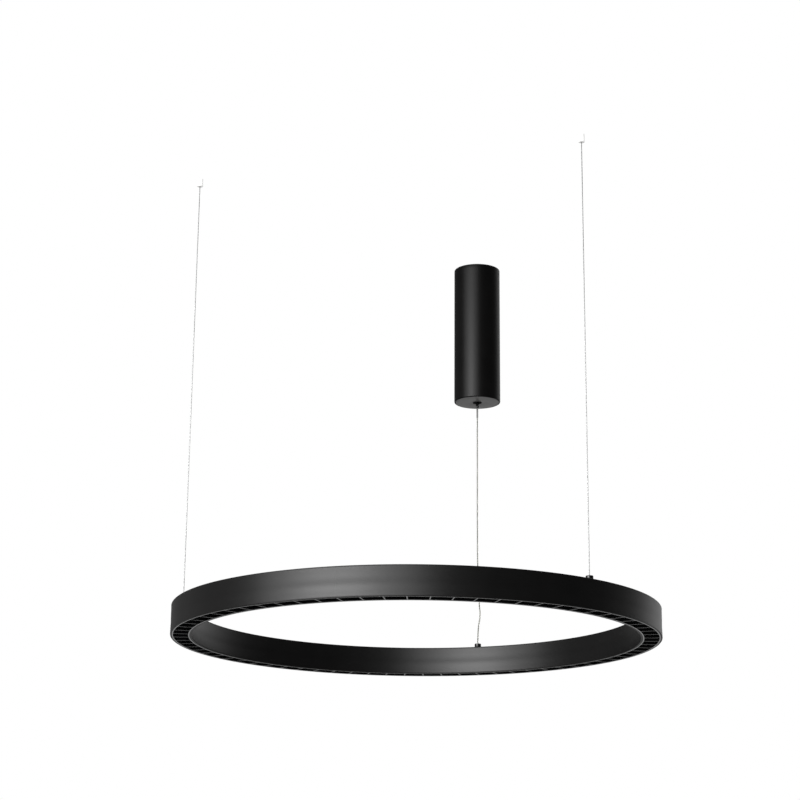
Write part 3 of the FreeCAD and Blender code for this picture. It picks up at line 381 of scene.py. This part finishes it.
profile_height = 0.035
eased_in = 0.0004
eased_half = 0.00012
lower_half = 0.00015
upper_half = 0.0348
rib_inner = 0.2777
rib_outer = 0.2968
rib_low = 0.0111
rib_high = 0.0121
channel_top = 0.0185
chamber_floor = 0.02
chamber_top = 0.033
lip = 0.0002
skin = wall(ring_outer, 1)
skin += [(ring_outer - eased_half, upper_half), (ring_outer - eased_in, profile_height)]
skin += [(ring_inner + eased_in, profile_height), (ring_inner + eased_half, upper_half)]
skin += reversed(wall(ring_inner, -1))
skin += [(ring_inner + eased_half, lower_half), (ring_inner + eased_in, 0)]
skin += [(channel_inner - lip, 0), (channel_inner, lip)]
skin += [(channel_inner, rib_low), (rib_inner, rib_low), (rib_inner, rib_high)]
skin += [(channel_inner, rib_high), (channel_inner, channel_top), (channel_outer, channel_top)]
skin += [(channel_outer, rib_high), (rib_outer, rib_high), (rib_outer, rib_low)]
skin += [(channel_outer, rib_low), (channel_outer, lip), (channel_outer + lip, 0)]
skin += [(ring_outer - eased_in, 0), (ring_outer - eased_half, lower_half)]
chamber = [(channel_inner, chamber_floor), (channel_outer, chamber_floor),
           (channel_outer, chamber_top), (channel_inner, chamber_top)]


def rolled(bm, loops, start, end, steps):
    """Sweep closed section loops round the ring's axis and cap both ends."""
    caps = [[], []]
    for loop in loops:
        rows = []
        for i in range(steps + 1):
            angle = start + (end - start) * i / steps
            out = Vector((math.cos(angle), math.sin(angle), 0))
            rows.append([bm.verts.new(ring_axis + out * r + Vector((0, 0, ring_floor + z)))
                         for r, z in loop])
        for i in range(steps):
            for k in range(len(loop)):
                bm.faces.new((rows[i][k - 1], rows[i][k], rows[i + 1][k], rows[i + 1][k - 1]))
        for cap, row in zip(caps, (rows[0], rows[-1])):
            cap += [bm.edges.get((row[k - 1], row[k])) for k in range(len(loop))]
    for cap in caps:
        bmesh.ops.triangle_fill(bm, use_beauty=True, edges=cap)


powder_black = finish("powder_black", coat_dark, 0.36, tint=coat_light, patch=0.03, grain=0.0005,
                      bump=0.12, gloss_spread=0.06)
seam_turn = 270
seam_half = 0.00002 / ring_middle
profile_mesh = bmesh.new()
rolled(profile_mesh, [skin, chamber], math.radians(seam_turn) + seam_half,
       math.radians(seam_turn + 360) - seam_half, 720)
profile = new_piece("profile", profile_mesh, powder_black, crease=35)


def round_ring(radius, degrees, height):
    """A place on the ring, by its distance from the axis and its direction."""
    angle = math.radians(degrees)
    return ring_axis + Vector((radius * math.cos(angle), radius * math.sin(angle), height))


splice_turn = math.degrees(0.014 / ring_middle)
splice_row = 0.005
line_places = {"feed": 90, "left": 210, "right": 330}
line_hole = 0.00305
through = Vector((0, 0, -0.003))
countersink = Vector((0, 0, -0.0017))
countersink_top = 0.00293
countersink_foot = 0.00158
holes = [(round_ring(ring_middle, angle, ring_top + 0.0005), through, line_hole, line_hole)
         for angle in line_places.values()]
countersinks = []
for side in (-1, 1):
    for row in (-1, 1):
        spot = round_ring(ring_middle + splice_row * row, seam_turn + side * splice_turn,
                          ring_top + 0.0001)
        holes.append((spot, through, screw_hole, screw_hole))
        countersinks.append((spot, countersink, countersink_top, countersink_foot))
drill(profile, holes)
drill(profile, countersinks)
carried(profile, "profile_black", "ring", "ring_profile")
milled = finish("milled_aluminium", (0.7, 0.7, 0.71), 0.35, metal=1.0, tint=(0.78, 0.78, 0.78),
                patch=0.003, grain=0.0003)
dress(milled, "splice_block")
dress(plated, "splice_screws")

# The louvre is moulded in three segments of black plastic. Each cell is a small reflector cup
# that closes in on its lens, and the edges that face the room are left bright.
bright_edge = finish("bright_edge", (0.86, 0.86, 0.87), 0.26, metal=1.0, tint=(0.94, 0.94, 0.94),
                     patch=0.006, grain=0.0003, bump=0.08)
reflector_black = finish("reflector_black", (0.002, 0.002, 0.0022), 0.2,
                         tint=(0.003, 0.003, 0.0033), patch=0.01, grain=0.0004, bump=0.02,
                         gloss_spread=0.05, specular=0.12)
louvre_middle = 0.28725
cell_turn = math.radians(5)
divider_half = 0.00075
half_depth = 0.0106
half_pitch = cell_turn / 2 * louvre_middle
segment_starts = {"feed": 30, "left": 150, "right": 270}
segment_cells = 24
fine_side = (-1, -0.94, -0.86, -0.76, -0.5, -0.17, 0.17, 0.5, 0.76, 0.86, 0.94)
plain_side = (-1, -0.7, -0.35, 0, 0.35, 0.7)


def cell_angle(start, cell):
    """Where a cell's middle lies, by its number from a segment's start in degrees."""
    return math.radians(start) + divider_half / louvre_middle + cell_turn * (cell + 0.5)


def outline_of(side):
    """Points along a square's edge, from corner to corner."""
    return ([(-1, v) for v in side] + [(u, 1) for u in side] + [(1, -v) for v in side]
            + [(-u, -1) for u in side])


def cell_loop(square, depth, pitch, corner, roundness=0.0, radius=0.0):
    """A cell's outline: a box with eased corners, drawn towards a circle by its roundness."""
    loop = []
    for u, v in square:
        a, b = u * depth, v * pitch
        if corner and abs(a) > depth - corner and abs(b) > pitch - corner:
            heart = Vector((math.copysign(depth - corner, a), math.copysign(pitch - corner, b)))
            a, b = heart + (Vector((a, b)) - heart).normalized() * corner
        length = math.hypot(u, v)
        a += (u / length * radius - a) * roundness
        b += (v / length * radius - b) * roundness
        loop.append((a, b))
    return loop


def ring_row(bm, loop, angle, height, middle=louvre_middle):
    """Put an outline down on the ring, its first number pointing away from the axis."""
    row = []
    for a, b in loop:
        turn = angle + b / middle
        row.append(bm.verts.new((ring_axis.x + (middle + a) * math.cos(turn),
                                 ring_axis.y + (middle + a) * math.sin(turn),
                                 ring_floor + height)))
    return row


def skin_rows(bm, rows, finishes=None):
    """Join neighbouring rows with faces, each band in its own finish."""
    for low, high, number in zip(rows, rows[1:], finishes or [0] * len(rows)):
        for k in range(len(low)):
            bm.faces.new((low[k - 1], low[k], high[k], high[k - 1])).material_index = number


cup_steps = 6
fine_square = outline_of(fine_side)
rim = 0.0091
cell_half = half_pitch - divider_half
crest = [
    (half_depth, half_pitch, 0, 0),
    (rim + 0.0002, cell_half + 0.0002, 0.0006, 0),
    (rim + 0.00005, cell_half + 0.00005, 0.0007, 0.00008),
    (rim, cell_half, 0.0008, 0.0003),
]
louvre_height = 0.01
cup_radius = 0.0066
cup_foot = crest[-1][3]
cup_corner = crest[-1][2]
weld = 2e-6
for name, start in segment_starts.items():
    bm = bmesh.new()
    for cell in range(segment_cells):
        angle = cell_angle(start, cell)
        rows = [ring_row(bm, cell_loop(fine_square, d, p, c), angle, z) for d, p, c, z in crest]
        for step in range(1, cup_steps + 1):
            climb = step / cup_steps
            rows.append(ring_row(bm, cell_loop(fine_square, rim, cell_half, cup_corner,
                                               1 - math.sqrt(1 - climb), cup_radius),
                                 angle, cup_foot + (louvre_height - cup_foot) * climb))
        rows.append(ring_row(bm, cell_loop(fine_square, half_depth, half_pitch, 0), angle,
                             louvre_height))
        skin_rows(bm, rows, [0] + [1] * (len(rows) - 2))
    bmesh.ops.remove_doubles(bm, verts=bm.verts, dist=weld)
    open_edges = [edge for edge in bm.edges if edge.is_boundary]
    open_edges.sort(key=lambda edge: edge.verts[0].co.z > ring_floor + louvre_height / 2)
    for face in bmesh.ops.bridge_loops(bm, edges=open_edges)["faces"]:
        face.material_index = 1
    piece = new_piece(f"louvre_grille_{name}", bm, [bright_edge, reflector_black], crease=50)
    carried(piece, "louvre_black", "ring", f"louvre_{name}")

# Clear moulded lenses in strips lie on the louvre. Each has a shallow dome below and a cone that
# gathers the light of one LED above.
def clear_plastic(name, colour, ior, roughness, waves, depth):
    """A clear plastic whose surface is very slightly wavy."""
    material = bpy.data.materials.new(name)
    material.use_nodes = True
    nodes = material.node_tree.nodes
    link = material.node_tree.links.new
    shader = nodes["Principled BSDF"]
    shader.inputs["Base Color"].default_value = (*colour, 1)
    shader.inputs["Transmission Weight"].default_value = 1.0
    shader.inputs["IOR"].default_value = ior
    shader.inputs["Roughness"].default_value = roughness
    ripples = nodes.new("ShaderNodeTexNoise")
    ripples.inputs["Scale"].default_value = waves
    dents = nodes.new("ShaderNodeBump")
    dents.inputs["Strength"].default_value = depth
    dents.inputs["Distance"].default_value = 0.0001
    link(ripples.outputs["Fac"], dents.inputs["Height"])
    link(dents.outputs["Normal"], shader.inputs["Normal"])
    return material


clear = clear_plastic("clear_lens", (0.8, 0.8, 0.8), ior=1.49, roughness=0.06, waves=900,
                      depth=0.05)
plain_square = outline_of(plain_side)
dome = ((0.0016, 0.00912), (0.0034, 0.00932), (0.005, 0.0096), (0.0062, louvre_height))
strip_top = 0.011
cone = ((0.0065, strip_top), (0.0052, 0.0128), (0.0037, 0.0146), (0.0022, 0.0161),
        (0.0019, 0.0161), (0.0016, 0.0152))


def round_rows(bm, outline, angle):
    """Circles over a cell's middle, one for each radius and height."""
    return [ring_row(bm, cell_loop(plain_square, 0, 0, 0, 1, radius), angle, height, ring_middle)
            for radius, height in outline]


all_cells = range(segment_cells * len(segment_starts))
first_start = segment_starts["feed"]
bm = bmesh.new()
for cell in all_cells:
    angle = cell_angle(first_start, cell)
    plate = cell_loop(plain_square, half_depth, half_pitch, 0)
    rows = round_rows(bm, dome, angle)
    bm.faces.new(rows[0])
    rows.append(ring_row(bm, plate, angle, louvre_height))
    skin_rows(bm, rows)
    rows = [ring_row(bm, plate, angle, strip_top)]
    rows += round_rows(bm, cone, angle)
    skin_rows(bm, rows)
    bm.faces.new(rows[-1])
bmesh.ops.remove_doubles(bm, verts=bm.verts, dist=weld)
rims = {True: [], False: []}
for edge in [edge for edge in bm.edges if edge.is_boundary]:
    corner = edge.verts[0].co
    rims[math.hypot(corner.x, corner.y - ring_axis.y) > ring_middle].append(edge)
for rim_edges in rims.values():
    bmesh.ops.bridge_loops(bm, edges=rim_edges)
carried(new_piece("lens_strips_clear", bm, clear, crease=30), "lens_clear", "ring", "lens_strips")

# The LEDs sit on white boards stuck under the profile's middle web: a white package with a
# yellow window, one over each lens.
board_white = finish("board_white", (0.72, 0.72, 0.68), 0.35, tint=(0.78, 0.78, 0.75), patch=0.01)
phosphor = finish("phosphor", (0.85, 0.55, 0.08), 0.45, tint=(0.9, 0.62, 0.12), patch=0.001,
                  grain=0.0002, bump=0.2)
package = finish("led_package", (0.82, 0.82, 0.78), 0.4, tint=(0.86, 0.86, 0.83), patch=0.002)
dress(board_white, "led_boards")
led_half = 0.0015
led_face = 0.0162
led_body = ((led_half, 0.0169), (led_half, led_face + 0.0001), (led_half - 0.0001, led_face))
led_window = ((0.0012, led_face), (0.0011, led_face + 0.0002))
bm = bmesh.new()
for cell in all_cells:
    angle = cell_angle(first_start, cell)
    rows = [ring_row(bm, cell_loop(plain_square, half, half, 0.0002), angle, height, ring_middle)
            for half, height in led_body]
    rows += round_rows(bm, led_window, angle)
    skin_rows(bm, rows)
    bm.faces.new(rows[0])
    bm.faces.new(rows[-1]).material_index = 1
carried(new_piece("led_packages", bm, [package, phosphor]), "led_phosphor", "ring", "led_chips")

# Wire grippers stand on the ring. The turned collar that shows is pressed down against a spring
# to free its line; the barrel, balls and spring are hidden in it and in the profile.
line_radius = {"feed": 0.0009, "left": 0.0005, "right": 0.0005}
collar_radius = 0.0044
collar_inside = 0.00365
collar_skirt = 0.0017
collar_roof = 0.005
collar_top = 0.0062
pusher_wall = 0.0006
for name, degrees in line_places.items():
    bore = line_radius[name] + 0.00015
    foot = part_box(f"gripper_collar_{name}")[0].z - ring_top
    turned(f"gripper_sleeve_{name}", rounded([
        (bore, foot, 0.0001),
        (bore + pusher_wall, foot, 0.0001),
        (bore + pusher_wall, collar_roof, 0.0001),
        (collar_inside, collar_roof, 0.0001),
        (collar_inside, collar_skirt, 0.0001),
        (collar_radius, collar_skirt, 0.0002),
        (collar_radius, collar_top, 0.0008),
        (bore + 0.0004, collar_top, 0.0002),
        (bore, 0.0058, 0.0001),
    ], steps=6), round_ring(ring_middle, degrees, ring_top), plated_black, "fitting_black",
        f"collar_{name}", f"gripper_collar_{name}", steps=fitting_steps)
    wound_spring(f"gripper_coil_{name}", round_ring(ring_middle, degrees, 0),
                 mean=line_radius[name] + 0.00095, wire=0.0002, turns=5,
                 replaced=f"gripper_spring_{name}")
    dress(plated_black, f"gripper_barrel_{name}")
    dress(plated, f"gripper_balls_{name}")

# The two plain wires end at the ceiling in small anchors, coated white as the ceiling is: a base
# for a screw and a cap screwed over it, with a crimped stop inside.
anchor_white = finish("anchor_white", (0.88, 0.88, 0.87), 0.45, tint=(0.92, 0.92, 0.91),
                      patch=0.003, grain=0.0003, bump=0.06)
dress(anchor_white, "anchor_bases")
cap_hole = 0.0006
cap_radius = 0.0038
cap_inside = 0.003
cap_floor = 0.0015
cap_height = 0.0075
bm = bmesh.new()
for name in ("left", "right"):
    turn_on_lathe(bm, rounded([
        (cap_hole, 0, 0.0002),
        (cap_radius, 0, 0.0006),
        (cap_radius, cap_height, 0.0002),
        (cap_inside, cap_height, 0.0001),
        (cap_inside, cap_floor, 0.0001),
        (cap_hole, cap_floor, 0.0001),
    ], steps=5), round_ring(ring_middle, line_places[name], -0.01), fitting_steps)
carried(new_piece("anchor_cap_pair", bm, anchor_white), "anchor_white", "ceiling", "anchor_caps")
dress(plated, "wire_stops")

# Two stranded steel wires carry the ring at its left and right. Each is stopped in its anchor
# and held by its gripper, and the ring's weight pulls it straight.
wire_steel = finish("wire_steel", (0.3, 0.3, 0.3), 0.32, metal=1.0, tint=(0.4, 0.4, 0.4),
                    patch=0.004, grain=0.0002)
dress(wire_steel, "wire_tail_left", "wire_tail_right")


def course(points):
    """The smooth line of a cord's route, guided by a few points."""
    curve = bpy.data.curves.new("route", "CURVE")
    curve.dimensions = "3D"
    curve.resolution_u = 48
    spline = curve.splines.new("NURBS")
    spline.points.add(len(points) - 1)
    for knot, point in zip(spline.points, points):
        knot.co = (*point, 1)
    spline.order_u = 3
    spline.use_endpoint_u = True
    route = bpy.data.objects.new("route", curve)
    bpy.context.scene.collection.objects.link(route)
    bpy.context.view_layer.update()
    mesh = bpy.data.meshes.new_from_object(
        route.evaluated_get(bpy.context.evaluated_depsgraph_get()))
    line = [vert.co.copy() for vert in mesh.vertices]
    bpy.data.objects.remove(route)
    return line


def spaced(line, step):
    """The same line with points at an even spacing."""
    lengths = [0]
    for a, b in zip(line, line[1:]):
        lengths.append(lengths[-1] + (b - a).length)
    count = round(lengths[-1] / step)
    even = []
    k = 0
    for i in range(count + 1):
        goal = lengths[-1] * i / count
        while k < len(line) - 2 and lengths[k + 1] < goal:
            k += 1
        share = (goal - lengths[k]) / (lengths[k + 1] - lengths[k])
        even.append(line[k].lerp(line[k + 1], min(share, 1)))
    return even


def laid_bar(bm, line, radius, strands=0, lay=0.01, depth=0.0, sides=24, offset=0.0, phase=0.0):
    """A round bar along a line. With strands its surface is fluted and twisted, and with an
    offset the whole bar winds round the line."""
    rows = []
    walked = 0
    for i, point in enumerate(line):
        before = line[max(i - 1, 0)]
        after = line[min(i + 1, len(line) - 1)]
        walked += (point - line[i - 1]).length if i else 0
        along = (after - before).normalized()
        first = Vector((0, 1, 0)).cross(along).normalized()
        second = along.cross(first)
        spin = math.tau * walked / lay + phase
        heart = point + (first * math.cos(spin) + second * math.sin(spin)) * offset
        row = []
        for k in range(sides):
            angle = math.tau * k / sides
            flute = depth * (1 - abs(math.cos((angle - spin) * strands / 2))) if strands else 0
            row.append(bm.verts.new(heart + (first * math.cos(angle) + second * math.sin(angle))
                                    * (radius - flute)))
        rows.append(row)
    skin_rows(bm, rows)
    bm.faces.new(rows[0])
    bm.faces.new(rows[-1])


seat_height = ring_top + collar_top - 0.0006
for name in ("left", "right"):
    top = round_ring(ring_middle, line_places[name], -0.006)
    foot = round_ring(ring_middle, line_places[name], seat_height)
    line = course([top, top.lerp(foot, 0.02), top.lerp(foot, 0.98), foot])
    bm = bmesh.new()
    laid_bar(bm, spaced(line, 0.001), line_radius[name], strands=6, lay=0.008, depth=0.00009)
    wire = new_piece(f"steel_wire_{name}", bm, wire_steel, crease=60)
    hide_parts(f"wire_{name}")
    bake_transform(wire)

# The feed cord carries both the current and a third of the weight: twisted tinned strands in a
# clear jacket. A slight set from its packing shows just above the ring.
cord_x_and_height = [(-0.0004, 0.128), (0.0006, 0.1), (0.0023, 0.073), (0.0019, 0.06),
                     (0.0039, 0.045), (0, 0.026)]
cord_top = nipple_foot + 0.0006
route = [Vector((0, 0, cord_top)), Vector((0, 0, cord_top - 0.012))]
route += [Vector((x, 0, ring_top + height)) for x, height in cord_x_and_height]
route.append(Vector((0, 0, seat_height)))
cord_line = course(route)
jacket = clear_plastic("clear_jacket", (0.93, 0.93, 0.9), ior=1.35, roughness=0.15, waves=700,
                       depth=0.1)
tinned = finish("tinned_strands", (0.22, 0.22, 0.205), 0.35, metal=1.0, tint=(0.4, 0.4, 0.37),
                patch=0.004, grain=0.0002)
even_line = spaced(cord_line, 0.0008)
strand_radius = 0.00036
strand_offset = 0.00037
bm = bmesh.new()
laid_bar(bm, even_line, line_radius["feed"])
cord = new_piece("feed_cord_jacket", bm, jacket, crease=60)
bm = bmesh.new()
for phase in (0, math.pi):
    laid_bar(bm, even_line, strand_radius, strands=5, lay=0.007, depth=0.00005, sides=15,
             offset=strand_offset, phase=phase)
strands = new_piece("feed_cord_strands", bm, tinned, crease=60)
for piece in (cord, strands):
    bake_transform(piece)
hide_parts("feed_cord")
cord_grey = finish("cord_inside", (0.45, 0.45, 0.42), 0.3, tint=(0.55, 0.55, 0.52), patch=0.002,
                   grain=0.0003)
dress(cord_grey, "feed_cord_inner", "feed_tail")

# A short grey sleeve is shrunk over the cord just under the nipple, where it would rub. It goes
# up with the nipple when that is pressed.
sleeve_grey = finish("sleeve_grey", (0.16, 0.16, 0.155), 0.35, tint=(0.2, 0.2, 0.19), patch=0.003,
                     grain=0.0003, bump=0.05)
sleeve_bore = 0.00093
sleeve_radius = 0.00125
sleeve_foot = -0.0145
turned("cord_sleeve", rounded([
    (sleeve_bore, sleeve_foot, 0.0001),
    (0.00115, sleeve_foot, 0.0001),
    (sleeve_radius, -0.01, 0.001),
    (sleeve_radius, 0, 0.0001),
    (sleeve_bore, 0, 0.0001),
], steps=4), (0, 0, nipple_foot), sleeve_grey, "cord_clear", "cord_release", steps=64)

# A plain pale floor far below, and the soft light of a studio: a small lamp and a broad one from
# the front left, a weak one at each side for the edges, one behind for the far side, and a white
# backdrop.
floor_height = -3.4
bm = bmesh.new()
bmesh.ops.create_circle(bm, cap_ends=True, segments=96, radius=14)
floor_white = finish("floor_white", (0.8, 0.8, 0.8), 0.6, tint=(0.82, 0.82, 0.82), patch=0.5,
                     grain=0.01)
floor = new_piece("floor", bm, floor_white)
floor.location = (0, ring_axis.y, floor_height)
floor.visible_glossy = False


def soft_lamp(name, turn, lift, distance, wide, tall, power):
    """An area lamp that faces the object, its turn counted from the camera to the left."""
    heart = ring_axis + Vector((0, 0, -0.35))
    way = Matrix.Rotation(math.radians(-turn), 3, "Z") @ -level
    way = way * math.cos(math.radians(lift)) + Vector((0, 0, math.sin(math.radians(lift))))
    lamp = bpy.data.lights.new(name, "AREA")
    lamp.shape = "RECTANGLE"
    lamp.size = wide
    lamp.size_y = tall
    lamp.energy = power
    holder = bpy.data.objects.new(name, lamp)
    holder.visible_camera = False
    bpy.context.scene.collection.objects.link(holder)
    holder.location = heart + way * distance
    holder.rotation_mode = "QUATERNION"
    holder.rotation_quaternion = (-way).to_track_quat("-Z", "Y")


soft_lamp("key", turn=35, lift=13, distance=1.9, wide=1.0, tall=0.5, power=17)
soft_lamp("front_fill", turn=35, lift=12, distance=3.2, wide=4.6, tall=2.0, power=80)
soft_lamp("left_edge", turn=105, lift=8, distance=2.6, wide=2.6, tall=1.8, power=2.1)
soft_lamp("right_edge", turn=-118, lift=8, distance=0.9, wide=0.5, tall=0.8, power=0.02)
soft_lamp("back_fill", turn=206, lift=20, distance=3.0, wide=3.6, tall=2.6, power=11)

# The backdrop is plain white to the eye. What the lamp mirrors of it is dimmer and grows brighter
# beyond the ring and overhead, and the light that it gives is even.
world = bpy.data.worlds.new("studio")
bpy.context.scene.world = world
world.use_nodes = True
tree = world.node_tree
background = tree.nodes["Background"]
facing = tree.nodes.new("ShaderNodeTexCoord")
toward = tree.nodes.new("ShaderNodeVectorMath")
toward.operation = "DOT_PRODUCT"
toward.inputs[1].default_value = Matrix.Rotation(math.radians(-15), 3, "Z") @ level
tree.links.new(facing.outputs["Generated"], toward.inputs[0])
upright = tree.nodes.new("ShaderNodeSeparateXYZ")
tree.links.new(facing.outputs["Generated"], upright.inputs["Vector"])
rays = tree.nodes.new("ShaderNodeLightPath")


def brightening(share, start, end, dark, bright):
    """Light that grows smoothly from dark to bright as the share goes from start to end."""
    step = tree.nodes.new("ShaderNodeMapRange")
    step.interpolation_type = "SMOOTHSTEP"
    step.inputs["From Min"].default_value = start
    step.inputs["From Max"].default_value = end
    step.inputs["To Min"].default_value = dark
    step.inputs["To Max"].default_value = bright
    tree.links.new(share, step.inputs["Value"])
    return step.outputs["Result"]


def world_maths(operation, first, second):
    """One sum of the backdrop's light, from numbers or from other sums."""
    step = tree.nodes.new("ShaderNodeMath")
    step.operation = operation
    for socket, value in zip(step.inputs, (first, second)):
        if isinstance(value, (int, float)):
            socket.default_value = value
        else:
            tree.links.new(value, socket)
    return step.outputs[0]


ambient = 0.8
behind = brightening(toward.outputs["Value"], start=0.2, end=1.15, dark=0.05, bright=0.28)
overhead = brightening(upright.outputs["Z"], start=0.7, end=1.0, dark=0.0, bright=0.6)
direct = world_maths("MAXIMUM", rays.outputs["Is Camera Ray"], rays.outputs["Is Transmission Ray"])
mirrored = world_maths("ADD", behind, overhead)
mirror = world_maths("MULTIPLY", rays.outputs["Is Glossy Ray"],
                     world_maths("SUBTRACT", mirrored, ambient))
other = world_maths("ADD", mirror, ambient)
rest = world_maths("MULTIPLY", world_maths("SUBTRACT", 1, direct), other)
tree.links.new(world_maths("ADD", direct, rest), background.inputs["Strength"])
background.inputs["Color"].default_value = (1, 1, 1, 1)
world.cycles.sampling_method = "NONE"
bpy.context.scene.view_settings.view_transform = "Standard"
